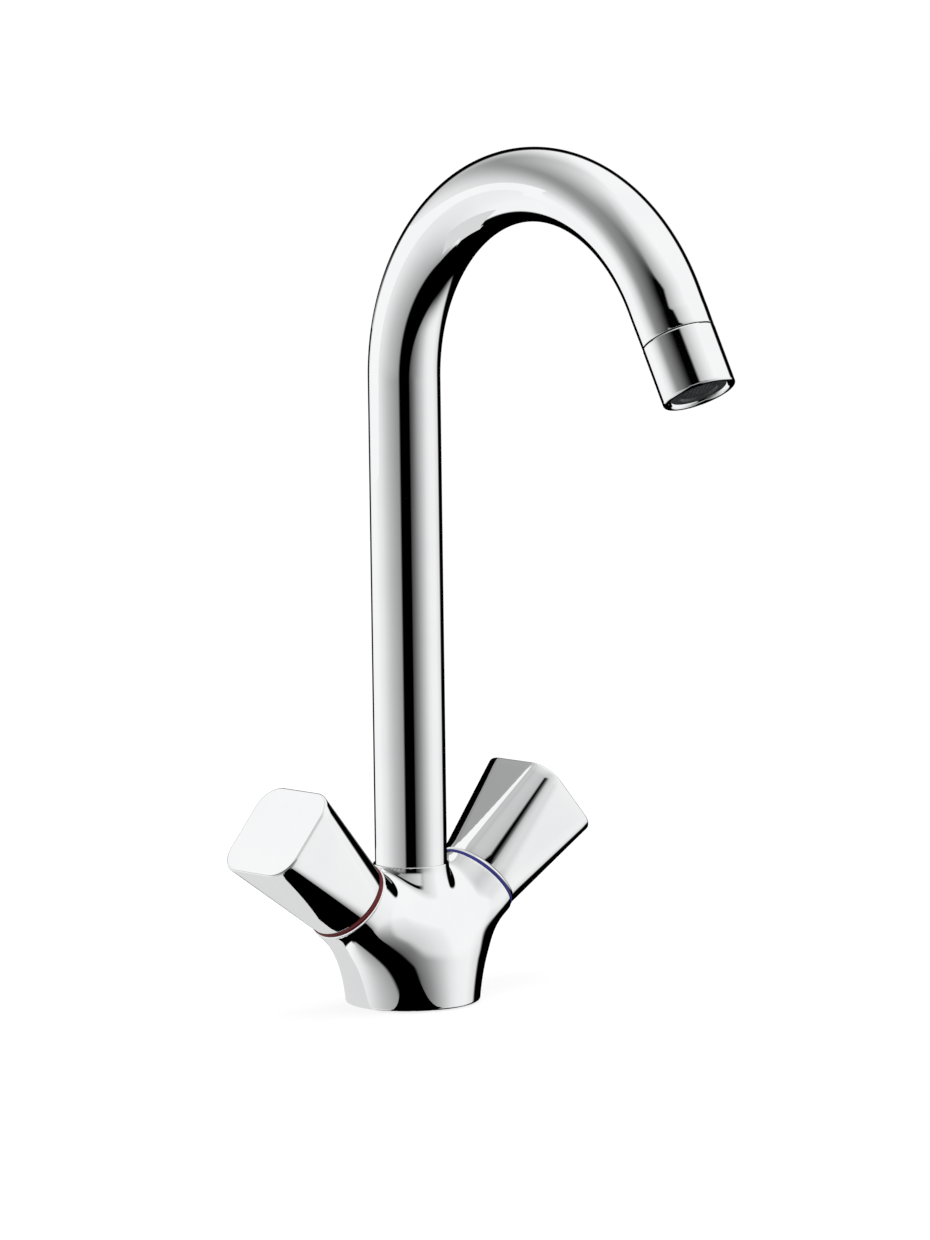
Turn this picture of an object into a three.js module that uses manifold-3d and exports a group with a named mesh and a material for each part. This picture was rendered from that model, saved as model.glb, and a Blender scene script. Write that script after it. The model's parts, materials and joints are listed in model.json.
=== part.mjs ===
// Two handle kitchen faucet: a Y shaped body on the deck, a swivelling high arc spout
// and two quarter turn valves, hot on the left (-X) and cold on the right (+X).
// Millimetres, +Z up, the spout reaches towards -Y, the origin is the centre of the base.
import * as THREE from "three";
import { mergeVertices } from "three/addons/utils/BufferGeometryUtils.js";
import Module from "manifold-3d";

const wasm = await Module();
wasm.setup();
const degrees = THREE.MathUtils.degToRad;

// ---------- Driving dimensions ----------

// Clearance between pieces that touch, screw or slide on each other.
const gap = 0.3;

// Spout
const spoutDiameter = 26;
const spoutWall = 1.5;
const archRadius = 71;
const archCentreHeight = 225.4;
const archAngle = degrees(152.1);
const outletStraight = 14.2;

// Aerator on the end of the spout
const seamWidth = 0.5;
const sleeveLength = 21.2;
const sleeveWall = 1.1;
const rimWidth = 1.5;
const rimRound = 0.5;
const tubeEndRound = 0.8;
const outletThreadDiameter = 23.2;
const outletThreadLength = 8.5;
const outletBore = 17;
const gasketThickness = 1.6;
const coreDiameter = 20.4;
const coreWall = 1.9;
const coreHeadHeight = 2.2;
const coreRecess = 1;
const coreLedgeThickness = 2;
const spreaderThickness = 1.4;
const spreaderHoleDiameter = 1.4;
const gridThickness = 2;
const gridRecess = 0.8;
const gridHoleDiameter = 2.4;

// Rings of holes in the two plates: the share of the plate's radius, and how many holes.
const spreaderHoles = [{ share: 0.72, count: 12 }];
const gridHoles = [{ share: 0, count: 1 }, { share: 0.4, count: 6 }, { share: 0.77, count: 12 }];

// Body
const baseDiameter = 48.4;
const baseChamfer = 1;
const shoulderHeight = 16.5;
const collarHeight = 50.3;
const collarLip = 0.6;
const blendSize = 16.5;
const crownBlendSize = 4;
const neckRootDiameter = 28;
const neckEndDiameter = 32.4;

// Valve axes: they meet at one point above the base and lean apart.
const valveTilt = degrees(49);
const valveOriginHeight = 13.2;
const neckLength = 40.4;
const seatDistance = 17;

// Underside
const inletDiameter = 10;
const inletDepth = 9;
const inletOffset = 9;
const waterwayDiameter = 5;
const studDiameter = 6.8;
const studDepth = 14;
const studOffset = 12;
const sealMiddleDiameter = 40.6;
const sealWidth = 2;
const sealThickness = 1.6;

// Spout swivel
const socketDiameter = 20;
const socketDepth = 14.3;
const counterboreDepth = 3;
const slideRingThickness = 1;
const bushBore = 13;
const bushLengthInTube = 13;
const snapRingThickness = 1.2;
const snapRingWidth = 2;
const swivelSealSection = 1.8;
const splitAngle = degrees(50);

// Headwork, the ceramic valve that screws into each neck
const headworkThread = 20.955;
const spigotDiameter = 17.8;
const spigotLength = 8;
const discDiameter = 15.2;
const discThickness = 2.6;
const discPortOuterDiameter = 12.2;
const discPortInnerDiameter = 3.8;
const discPortAngle = degrees(96);
const discWingAngle = degrees(100);
const discWaistDiameter = 5.4;
const seatSealHeight = 2;
const seatSealWidth = 3.2;
const windowWidth = 9;
const glideWasherThickness = 0.8;
const flangeDiameter = 24.4;
const flangeHeight = 4;
const guideDiameter = 14.4;
const guideLength = 9.7;
const headworkSealSection = 1.5;

// Spindle
const stemDiameter = 9.2;
const spindleHeadHeight = 2.6;
const driveKeyLength = 9;
const driveKeyWidth = 3;
const driveKeyHeight = 1.3;
const headNotchDiameter = 7.6;
const headNotchOffset = 9.4;
const spindleSealSection = 1.4;
const spindleSealDistance = 6;
const clipThickness = 0.8;
const clipWidth = 2.4;
const clipGrooveDepth = 1.2;
const splineDiameter = 8;
const splineTeeth = 20;
const splineToothDepth = 0.45;
const splineLength = 9;

// Handle, ring, insert and screw
const indexRingDiameter = 31.6;
const indexRingThickness = 1.4;
const handleGap = 0.5;
const handleLength = 43;
const handleRootDiameter = 31.2;
const handleHalfWidth = 18.1;
const handleCorner = 9.15;
const handleEdge = 0.9;
const handleDome = 1.1;
const handleWall = 2.6;
const handleSkirtWall = 2.2;
const socketHalfWidth = 11.5;
const socketCorner = 6;
const insertFloor = 2.2;
const screwDiameter = 4;
const screwHeadDiameter = 7.6;
const screwHeadHeight = 2.6;
const screwLength = 11;
const screwSocketWidth = 3;
const screwSocketDepth = 1.5;

// Facets
const bodySides = 56;
const bodyRings = 36;
const tubeSides = 24;
const archSteps = 18;
const visibleSides = 32;
const hiddenSides = 16;
const sealFacets = 6;
const holeSides = 6;

// ---------- Materials ----------

function finish(color, roughness, metalness) {
  return { color, roughness, metalness };
}

const chrome = finish(0xe6e8ea, 0.05, 1);
const brass = finish(0xc9a85c, 0.35, 1);
const steel = finish(0xb9bcc0, 0.3, 1);
const ceramic = finish(0xf1efe8, 0.25, 0);
const rubber = finish(0x1c1c1e, 0.8, 0);
const whitePlastic = finish(0xe4e4e0, 0.5, 0);
const greyPlastic = finish(0x50545a, 0.5, 0);
const redPlastic = finish(0x6e282d, 0.35, 0);
const bluePlastic = finish(0x3c418c, 0.35, 0);

// ---------- Solids ----------

// A closed geometry as a solid with its faces pointing out.
function solid(geometry) {
  const bare = new THREE.BufferGeometry();
  bare.setAttribute("position", geometry.getAttribute("position"));
  if (geometry.index) bare.setIndex(geometry.index);
  const merged = mergeVertices(bare, 1e-4);
  const corners = merged.index.array;
  const triangles = [];
  for (let i = 0; i < corners.length; i += 3) {
    const [a, b, c] = [corners[i], corners[i + 1], corners[i + 2]];
    if (a !== b && b !== c && c !== a) triangles.push(a, b, c);
  }
  const build = (list) =>
    new wasm.Manifold(
      new wasm.Mesh({
        numProp: 3,
        vertProperties: new Float32Array(merged.attributes.position.array),
        triVerts: new Uint32Array(list),
      }),
    );
  const made = build(triangles);
  return made.volume() > 0 ? made : build(triangles.reverse());
}

function geometryOf(made) {
  const mesh = made.getMesh();
  const geometry = new THREE.BufferGeometry();
  const positions = new Float32Array(mesh.vertProperties);
  geometry.setAttribute("position", new THREE.BufferAttribute(positions, 3));
  geometry.setIndex(new THREE.BufferAttribute(new Uint32Array(mesh.triVerts), 1));
  geometry.computeVertexNormals();
  return geometry;
}

// A named piece from a geometry or a solid.
function piece(name, shape, look) {
  const made = shape.isBufferGeometry ? solid(shape) : shape;
  const mesh = new THREE.Mesh(geometryOf(made), new THREE.MeshStandardMaterial(look));
  mesh.name = name;
  return mesh;
}

// Turned about +Z from [radius, height] points that start and end on the axis.
function turned(points, sides = hiddenSides) {
  const profile = points.map(([radius, height]) => new THREE.Vector2(radius, height));
  return new THREE.LatheGeometry(profile, sides).rotateX(Math.PI / 2);
}

// A turned ring: its outline closes on itself.
function turnedRing(points, sides = hiddenSides) {
  return turned([...points, points[0]], sides);
}

// A flat washer between two radii and two heights.
function washer(inner, outer, low, high, sides = hiddenSides) {
  const outline = [[inner, low], [outer, low], [outer, high], [inner, high]];
  return turnedRing(outline, sides);
}

function cylinder(radius, low, high, sides = hiddenSides) {
  return turned([[0, low], [radius, low], [radius, high], [0, high]], sides);
}

// A round seal with its middle circle at the given radius and height.
function roundSeal(middleRadius, section, height) {
  const ring = new THREE.TorusGeometry(middleRadius, section / 2, sealFacets, hiddenSides);
  return ring.translate(0, 0, height);
}

function circle(radius, sides, x = 0, y = 0) {
  return Array.from({ length: sides }, (_, i) => {
    const angle = (i / sides) * 2 * Math.PI;
    return new THREE.Vector2(x + radius * Math.cos(angle), y + radius * Math.sin(angle));
  });
}

function extruded(shape, low, high, curveSegments = 6) {
  const settings = { depth: high - low, bevelEnabled: false, curveSegments };
  return new THREE.ExtrudeGeometry(shape, settings).translate(0, 0, low);
}

// A straight drilling between two points.
function drilling(from, to, radius) {
  const way = to.clone().sub(from);
  const hole = cylinder(radius, 0, way.length(), 16);
  const turn = new THREE.Quaternion().setFromUnitVectors(
    new THREE.Vector3(0, 0, 1),
    way.normalize(),
  );
  return hole.applyQuaternion(turn).translate(from.x, from.y, from.z);
}

// Distance from the middle of a rounded square to its outline at an angle.
function roundedSquareRadius(angle, half, corner) {
  const across = Math.abs(Math.cos(angle));
  const up = Math.abs(Math.sin(angle));
  const long = Math.max(across, up);
  const short = Math.min(across, up);
  const cornerCentre = half - corner;
  if (half * short <= cornerCentre * long) return half / long;
  const along = cornerCentre * (long + short);
  return along + Math.sqrt(along ** 2 - 2 * cornerCentre ** 2 + corner ** 2);
}

// Like turned, but each [half width, corner radius, height] is a rounded square.
function squared(stations, sides = visibleSides) {
  const geometry = turned(stations.map(([half, , height]) => [half, height]), sides);
  const position = geometry.getAttribute("position");
  for (let i = 0; i < position.count; i++) {
    const [half, corner] = stations[i % stations.length];
    if (half === 0) continue;
    const angle = Math.atan2(position.getY(i), position.getX(i));
    const stretch = roundedSquareRadius(angle, half, corner) / half;
    position.setX(i, position.getX(i) * stretch);
    position.setY(i, position.getY(i) * stretch);
  }
  return geometry;
}

// How far a cut runs past the face that it opens.
const past = 1;

// ---------- Shared sizes worked out from the driving dimensions ----------

const spoutRadius = spoutDiameter / 2;
const boreRadius = spoutRadius - spoutWall;

// Places along a valve axis, measured from the point where both axes meet.
const sealStart = seatDistance + gap;
const fixedDiscStart = sealStart + seatSealHeight + gap;
const movingDiscStart = fixedDiscStart + discThickness + gap;
const spindleHeadStart = movingDiscStart + discThickness + gap;
const glideStart = spindleHeadStart + spindleHeadHeight + gap;
const chamberEnd = glideStart + glideWasherThickness + gap;
const flangeStart = neckLength + gap;
const flangeEnd = flangeStart + flangeHeight;
const guideEnd = flangeEnd + guideLength;
const clipStart = guideEnd + gap;
const clipEnd = clipStart + clipThickness;
const splineStart = clipEnd + gap;
const splineEnd = splineStart + splineLength;
const ringStart = neckLength + gap;
const ringEnd = ringStart + indexRingThickness;
const handleStart = ringEnd + handleGap;
const handleEnd = handleStart + handleLength;
const cavityEnd = handleEnd - handleWall;

const headworkBore = headworkThread / 2 + gap;
const spigotBore = spigotDiameter / 2 + gap;
const chamberRadius = discDiameter / 2 + gap;
const stemRadius = stemDiameter / 2;
const stemBore = stemRadius + gap;
const splineRadius = splineDiameter / 2;

// Heights in the spout swivel.
const counterboreFloor = collarHeight - counterboreDepth;
const counterboreRadius = spoutRadius + gap;
const shoulderFloor = counterboreFloor + gap;
const tubeStart = shoulderFloor + slideRingThickness + gap;
const socketRadius = socketDiameter / 2;
const socketFloorHeight = collarHeight - socketDepth;
const nippleRadius = socketRadius - gap;
const nippleEnd = socketFloorHeight + gap;
const swivelGrooveHeight = swivelSealSection + 2 * gap;
const upperSealHeight = counterboreFloor - gap - swivelGrooveHeight;
const lowerSealHeight = nippleEnd + gap + swivelGrooveHeight;
const snapRingHeight = (upperSealHeight + lowerSealHeight) / 2;

// A seal in a groove that is cut into a shaft which runs in a bore.
function grooveFor(boreRadiusAround, section) {
  const middle = boreRadiusAround - gap - section / 2;
  return { middle, floor: middle - section / 2 - gap, half: section / 2 + gap };
}

// ---------- Body ----------

// How far the body's shell first runs past its deck, collar and neck faces.
const shellOverrun = 20;

function smoothUnion(a, b, size) {
  const near = Math.max(size - Math.abs(a - b), 0) / size;
  return Math.min(a, b) - (near * near * size) / 4;
}

// Radius of the upright trunk: straight at the base, drawn in to the collar at the top.
function trunkRadius(height) {
  const base = baseDiameter / 2;
  const collar = spoutRadius + gap + collarLip;
  const share = THREE.MathUtils.smoothstep(height, shoulderHeight, collarHeight);
  return THREE.MathUtils.lerp(base, collar, share);
}

// Below zero inside the body's outer surface: the trunk blended with the two necks, widely
// at the front and below, and tightly in the saddles beside the collar.
function bodySurface(point) {
  const trunkSide = Math.hypot(point.x, point.y) - trunkRadius(point.z);
  const trunk = Math.max(trunkSide, point.z - collarHeight - shellOverrun);
  const side = Math.abs(point.x);
  const rise = point.z - valveOriginHeight;
  const along = side * Math.sin(valveTilt) + rise * Math.cos(valveTilt);
  const across = side * Math.cos(valveTilt) - rise * Math.sin(valveTilt);
  const share = Math.max(along / neckLength, 0);
  const neckRadius = THREE.MathUtils.lerp(neckRootDiameter, neckEndDiameter, share) / 2;
  const height = THREE.MathUtils.smoothstep(point.z, collarHeight / 2, collarHeight);
  const blend = THREE.MathUtils.lerp(blendSize, crownBlendSize, height);
  return smoothUnion(trunk, Math.hypot(across, point.y) - neckRadius, blend);
}

// The outer surface, found along straight rays that start inside the body, spread out
// towards the necks. It runs on past the deck, the collar and the necks' ends, where cuts
// then end it.
function bodyShell() {
  const sphere = new THREE.SphereGeometry(1, bodySides, bodyRings).rotateX(Math.PI / 2);
  const position = sphere.getAttribute("position");
  const reach = 3 * (neckLength + shellOverrun);
  const ray = new THREE.Vector3();
  const point = new THREE.Vector3();
  for (let i = 0; i < position.count; i++) {
    ray.fromBufferAttribute(position, i);
    ray.set(...ray.toArray().map((value) => Number(value.toFixed(6)))).normalize();
    const spread = (ray.x * neckLength) / 2;
    const start = new THREE.Vector3(spread * Math.sin(valveTilt), 0, collarHeight / 2);
    start.z += Math.abs(spread) * Math.cos(valveTilt);
    let near = 0;
    let far = reach;
    while (far - near > 1e-4) {
      const half = (near + far) / 2;
      point.copy(start).addScaledVector(ray, half);
      const ended = point.z < -shellOverrun || valveDistance(point) > neckLength + shellOverrun;
      if (ended || bodySurface(point) > 0) far = half;
      else near = half;
    }
    point.copy(start).addScaledVector(ray, near);
    position.setXYZ(i, point.x, point.y, point.z);
  }
  return sphere;
}

function valveDistance(point) {
  const rise = point.z - valveOriginHeight;
  return Math.abs(point.x) * Math.sin(valveTilt) + rise * Math.cos(valveTilt);
}

// Turns and moves a shape from the valve's own axis (+Z) to its place; side is -1 or +1.
function onValve(geometry, side) {
  return geometry.rotateY(side * valveTilt).translate(0, 0, valveOriginHeight);
}

function pointOnValve(distance, side) {
  return new THREE.Vector3(
    side * distance * Math.sin(valveTilt),
    0,
    valveOriginHeight + distance * Math.cos(valveTilt),
  );
}

// Everything that a valve takes out of the body: its bore, and the drillings to and from it.
function valveCuts(side) {
  const far = 3 * (neckLength + shellOverrun);
  const bore = turned([
    [0, seatDistance],
    [spigotBore, seatDistance],
    [spigotBore, seatDistance + spigotLength],
    [headworkBore, seatDistance + spigotLength],
    [headworkBore, far],
    [0, far],
  ]);
  const beyondNeck = cylinder(2 * neckEndDiameter, neckLength, far, 8);
  const inlet = new THREE.Vector3(side * inletOffset, 0, inletDepth - waterwayDiameter / 2);
  const outlet = new THREE.Vector3(side * (socketRadius - waterwayDiameter / 2), 0, 0);
  outlet.z = socketFloorHeight + gap;
  const port = cylinder(inletDiameter / 2, -inletDepth, inletDepth, 20);
  const waterway = waterwayDiameter / 2;
  return [
    onValve(bore, side),
    onValve(beyondNeck, side),
    port.translate(inlet.x, 0, 0),
    drilling(inlet, pointOnValve(seatDistance + gap, side), waterway),
    drilling(outlet, pointOnValve(seatDistance + spigotLength / 2, side), waterway),
  ];
}

function body() {
  const top = 3 * (collarHeight + shellOverrun);
  const aboveCollar = counterboreRadius + collarLip + baseChamfer;
  const snapGroove = snapRingThickness / 2 + gap;
  const snapGrooveRadius = nippleRadius + snapRingWidth / 2 + gap;
  const socket = turned([
    [0, socketFloorHeight],
    [socketRadius, socketFloorHeight],
    [socketRadius, snapRingHeight - snapGroove],
    [snapGrooveRadius, snapRingHeight - snapGroove],
    [snapGrooveRadius, snapRingHeight + snapGroove],
    [socketRadius, snapRingHeight + snapGroove],
    [socketRadius, counterboreFloor],
    [counterboreRadius, counterboreFloor],
    [counterboreRadius, collarHeight],
    [aboveCollar, collarHeight],
    [aboveCollar, top],
    [0, top],
  ], 32);
  const foot = baseDiameter / 2 - baseChamfer;
  const wide = 3 * (neckLength + shellOverrun);
  const chamferTop = 2 * baseChamfer;
  const aboveDeck = turned([
    [0, 0],
    [foot, 0],
    [foot + chamferTop, chamferTop],
    [wide, chamferTop],
    [wide, top],
    [0, top],
  ], bodySides);
  const groove = washer(
    sealMiddleDiameter / 2 - sealWidth / 2 - gap,
    sealMiddleDiameter / 2 + sealWidth / 2 + gap,
    -sealThickness,
    sealThickness + 2 * gap,
    32,
  );
  const stud = cylinder(studDiameter / 2, -studDepth, studDepth, 16).translate(0, studOffset, 0);
  const cuts = [socket, groove, stud, ...valveCuts(-1), ...valveCuts(1)];
  const outside = solid(bodyShell()).intersect(solid(aboveDeck));
  return cuts.reduce((made, cut) => made.subtract(solid(cut)), outside);
}

function baseSeal() {
  const middle = sealMiddleDiameter / 2;
  const half = sealWidth / 2;
  return washer(middle - half, middle + half, gap, gap + sealThickness, 32);
}

// ---------- Spout ----------

// Centre line of the spout: up, round the arch, and straight to the outlet.
// Its steps are not even, because only the arch needs many.
class SpoutPath extends THREE.Curve {
  getPoint(share) {
    const step = share * (archSteps + 2);
    if (step <= 1) {
      return new THREE.Vector3(0, 0, THREE.MathUtils.lerp(tubeStart, archCentreHeight, step));
    }
    const turn = Math.min((step - 1) / archSteps, 1) * archAngle;
    const point = archPoint(turn);
    return point.addScaledVector(outletDirection, Math.max(step - 1 - archSteps, 0) * outletStraight);
  }
  getUtoTmapping(share) {
    return share;
  }
}

function archPoint(turn) {
  return new THREE.Vector3(
    0,
    archRadius * (Math.cos(turn) - 1),
    archCentreHeight + archRadius * Math.sin(turn),
  );
}

const outletDirection = new THREE.Vector3(0, -Math.sin(archAngle), Math.cos(archAngle));
const outletPoint = archPoint(archAngle).addScaledVector(outletDirection, outletStraight);

// The tube; the edge of its outlet end is rounded off at the seam.
function spoutTube() {
  const wall = new THREE.Shape().absarc(0, 0, spoutRadius, 0, 2 * Math.PI);
  wall.holes.push(new THREE.Path().absarc(0, 0, boreRadius, 0, 2 * Math.PI));
  const tube = new THREE.ExtrudeGeometry(wall, {
    steps: archSteps + 2,
    curveSegments: tubeSides / 2,
    extrudePath: new SpoutPath(),
  });
  const edge = turnedRing([
    [spoutRadius + past, -tubeEndRound - past],
    [spoutRadius + past, past],
    [spoutRadius - tubeEndRound - past, past],
  ], tubeSides);
  return solid(tube).subtract(solid(onOutlet(edge)));
}

// Turns and moves a shape from the outlet's own axis (+Z) to the end of the tube.
function onOutlet(geometry) {
  const turn = new THREE.Quaternion().setFromUnitVectors(new THREE.Vector3(0, 0, 1), outletDirection);
  return geometry.applyQuaternion(turn).translate(...outletPoint.toArray());
}

// The bush soldered into the foot of the tube, which turns in the body's socket.
function swivelBush() {
  const seal = grooveFor(socketRadius, swivelSealSection);
  const snap = snapRingThickness / 2 + gap;
  const snapFloor = nippleRadius - snapRingWidth / 2 - gap;
  const outer = boreRadius - gap;
  const top = tubeStart + bushLengthInTube;
  return turnedRing([
    [bushBore / 2, nippleEnd],
    [nippleRadius, nippleEnd],
    [nippleRadius, lowerSealHeight - seal.half],
    [seal.floor, lowerSealHeight - seal.half],
    [seal.floor, lowerSealHeight + seal.half],
    [nippleRadius, lowerSealHeight + seal.half],
    [nippleRadius, snapRingHeight - snap],
    [snapFloor, snapRingHeight - snap],
    [snapFloor, snapRingHeight + snap],
    [nippleRadius, snapRingHeight + snap],
    [nippleRadius, upperSealHeight - seal.half],
    [seal.floor, upperSealHeight - seal.half],
    [seal.floor, upperSealHeight + seal.half],
    [nippleRadius, upperSealHeight + seal.half],
    [nippleRadius, shoulderFloor],
    [outer, shoulderFloor],
    [outer, top],
    [bushBore / 2, top],
  ]);
}

// A split ring: a flat ring with a slot on one side.
function splitRing(inner, outer, low, high) {
  const slot = splitAngle / 2;
  const shape = new THREE.Shape();
  shape.absarc(0, 0, outer, slot, 2 * Math.PI - slot);
  shape.absarc(0, 0, inner, 2 * Math.PI - slot, slot, true);
  return extruded(shape, low, high, 12);
}

function swivelPieces() {
  const seal = grooveFor(socketRadius, swivelSealSection);
  const half = snapRingWidth / 2;
  const low = snapRingHeight - snapRingThickness / 2;
  const high = snapRingHeight + snapRingThickness / 2;
  const snapRing = splitRing(nippleRadius - half, nippleRadius + half, low, high);
  const slideTop = shoulderFloor + slideRingThickness;
  const slideRing = washer(boreRadius, counterboreRadius - gap, shoulderFloor, slideTop, 32);
  const lowerSeal = roundSeal(seal.middle, swivelSealSection, lowerSealHeight);
  const upperSeal = roundSeal(seal.middle, swivelSealSection, upperSealHeight);
  return [
    piece("spout_tube", spoutTube(), chrome),
    piece("swivel_bush", swivelBush(), brass),
    piece("swivel_seal_lower", lowerSeal, rubber),
    piece("swivel_seal_upper", upperSeal, rubber),
    piece("swivel_snap_ring", snapRing, whitePlastic),
    piece("swivel_slide_ring", slideRing, whitePlastic),
  ];
}

// ---------- Aerator ----------

// Places along the outlet's own axis, measured from the end of the tube.
const sleeveEnd = seamWidth + sleeveLength;
const gasketStart = outletThreadLength + gap;
const coreStart = gasketStart + gasketThickness + gap;
const ledgeStart = coreStart + coreHeadHeight + gap;
const ledgeEnd = ledgeStart + coreLedgeThickness;
const coreEnd = sleeveEnd - coreRecess;
const sleeveBore = spoutRadius - sleeveWall;
const rimBore = spoutRadius - rimWidth;
const coreRadius = coreDiameter / 2;
const coreBore = coreRadius - coreWall;
const spreaderStart = coreStart + coreHeadHeight;
const gridEnd = coreEnd - gridRecess;
const gridStart = gridEnd - gridThickness;

// The brass end of the spout: soldered into the tube, with a thread for the sleeve.
function outletAdapter() {
  const inTube = boreRadius - gap;
  const thread = outletThreadDiameter / 2;
  return turnedRing([
    [outletBore / 2, -bushLengthInTube / 2],
    [inTube, -bushLengthInTube / 2],
    [inTube, 0],
    [thread, 0],
    [thread, outletThreadLength],
    [outletBore / 2, outletThreadLength],
  ]);
}

// The sleeve screws onto the adapter and carries the core on a ledge inside it.
function aeratorSleeve() {
  const soft = rimRound * (1 - Math.SQRT1_2);
  return turnedRing([
    [sleeveBore, seamWidth],
    [spoutRadius - seamWidth, seamWidth],
    [spoutRadius, 2 * seamWidth],
    [spoutRadius, sleeveEnd - rimRound],
    [spoutRadius - soft, sleeveEnd - soft],
    [spoutRadius - rimRound, sleeveEnd],
    [rimBore + rimRound, sleeveEnd],
    [rimBore, sleeveEnd - rimRound],
    [rimBore, ledgeEnd],
    [coreRadius + gap, ledgeEnd],
    [coreRadius + gap, ledgeStart],
    [sleeveBore, ledgeStart],
  ], visibleSides);
}

// A thin round plate with rings of small holes; heights run along the outlet's axis.
function perforatedPlate(radius, low, high, rings, holeRadius) {
  const plate = new THREE.Shape(circle(radius, hiddenSides));
  for (const { share, count } of rings) {
    for (const { x, y } of circle(share * radius, count)) {
      plate.holes.push(new THREE.Path(circle(holeRadius, holeSides, x, y)));
    }
  }
  return extruded(plate, low, high);
}

function aeratorPieces() {
  const flange = sleeveBore - gap;
  const core = turnedRing([
    [coreBore, coreEnd],
    [coreRadius, coreEnd],
    [coreRadius, ledgeStart - gap],
    [flange, ledgeStart - gap],
    [flange, coreStart],
    [coreBore - coreWall, coreStart],
    [coreBore - coreWall, spreaderStart - gap],
    [coreBore, spreaderStart - gap],
  ]);
  const spreader = perforatedPlate(
    coreBore - gap,
    spreaderStart,
    spreaderStart + spreaderThickness,
    spreaderHoles,
    spreaderHoleDiameter / 2,
  );
  const grid = perforatedPlate(coreBore - gap, gridStart, gridEnd, gridHoles, gridHoleDiameter / 2);
  const gasket = washer(
    outletBore / 2 + gap,
    sleeveBore - gap,
    gasketStart,
    gasketStart + gasketThickness,
  );
  return [
    piece("outlet_adapter", outletAdapter(), brass),
    piece("aerator_sleeve", aeratorSleeve(), chrome),
    piece("aerator_gasket", gasket, rubber),
    piece("aerator_core", core, greyPlastic),
    piece("aerator_spreader", spreader, whitePlastic),
    piece("aerator_grid", grid, greyPlastic),
  ];
}

function spout() {
  const group = new THREE.Group();
  group.add(...swivelPieces());
  const aerator = new THREE.Group();
  aerator.add(...aeratorPieces());
  aerator.position.copy(outletPoint);
  const alongOutlet = new THREE.Vector3(0, 0, 1);
  aerator.quaternion.setFromUnitVectors(alongOutlet, outletDirection);
  group.add(aerator);
  return group;
}

// ---------- Headwork: each valve's pieces, along +Z from where the valve axes meet ----------

// The brass housing that screws into the neck and holds the discs.
function headworkHousing() {
  const seal = grooveFor(headworkBore, headworkSealSection);
  const sealMiddle = neckLength - gap - seal.half;
  const thread = headworkThread / 2;
  const spigot = spigotDiameter / 2;
  const threadStart = seatDistance + spigotLength + gap;
  return turnedRing([
    [chamberRadius, sealStart + gap],
    [spigot, sealStart + gap],
    [spigot, threadStart],
    [thread, threadStart],
    [thread, sealMiddle - seal.half],
    [seal.floor, sealMiddle - seal.half],
    [seal.floor, sealMiddle + seal.half],
    [thread, sealMiddle + seal.half],
    [thread, flangeStart],
    [flangeDiameter / 2, flangeStart],
    [flangeDiameter / 2, flangeEnd],
    [guideDiameter / 2, flangeEnd],
    [guideDiameter / 2, guideEnd],
    [stemBore, guideEnd],
    [stemBore, chamberEnd],
    [chamberRadius, chamberEnd],
  ]);
}

// Side windows let the water out of the housing between the discs and the spigot's foot.
function headworkWithWindows() {
  const window = new THREE.BoxGeometry(windowWidth, 2 * spigotDiameter, discThickness);
  window.translate(0, 0, spindleHeadStart);
  return solid(headworkHousing()).subtract(solid(window));
}

// A ceramic disc with two quarter openings; turned by 90 degrees it closes its neighbour.
function ceramicDisc(start) {
  const radius = discDiameter / 2;
  const disc = new THREE.Shape().absarc(0, 0, radius, 0, 2 * Math.PI);
  const half = discPortAngle / 2;
  for (const middle of [0, Math.PI]) {
    const opening = new THREE.Path();
    opening.absarc(0, 0, discPortOuterDiameter / 2, middle - half, middle + half);
    opening.absarc(0, 0, discPortInnerDiameter / 2, middle + half, middle - half, true);
    opening.closePath();
    disc.holes.push(opening);
  }
  return extruded(disc, start, start + discThickness, 8);
}

// The upper disc is a bow tie that covers the openings when the valve is shut.
function movingDisc() {
  const radius = discDiameter / 2;
  const waist = discWaistDiameter / 2;
  const disc = new THREE.Shape();
  const half = discWingAngle / 2;
  disc.absarc(0, 0, radius, -half, half);
  disc.absarc(0, 0, waist, half, Math.PI - half);
  disc.absarc(0, 0, radius, Math.PI - half, Math.PI + half);
  disc.absarc(0, 0, waist, Math.PI + half, 2 * Math.PI - half);
  const slot = new THREE.BoxGeometry(
    driveKeyWidth + 2 * gap,
    2 * discDiameter,
    2 * (driveKeyHeight + gap),
  );
  slot.translate(0, 0, movingDiscStart + discThickness);
  const whole = extruded(disc, movingDiscStart, movingDiscStart + discThickness, 8);
  return solid(whole).subtract(solid(slot.rotateZ(Math.PI / 2)));
}

function splineShape(extra) {
  const shape = new THREE.Shape();
  const points = [];
  for (let i = 0; i < 2 * splineTeeth; i++) {
    const radius = extra + splineRadius - (i % 2) * splineToothDepth;
    const angle = (i / (2 * splineTeeth)) * 2 * Math.PI;
    points.push(new THREE.Vector2(radius * Math.cos(angle), radius * Math.sin(angle)));
  }
  return shape.setFromPoints(points);
}

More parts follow.
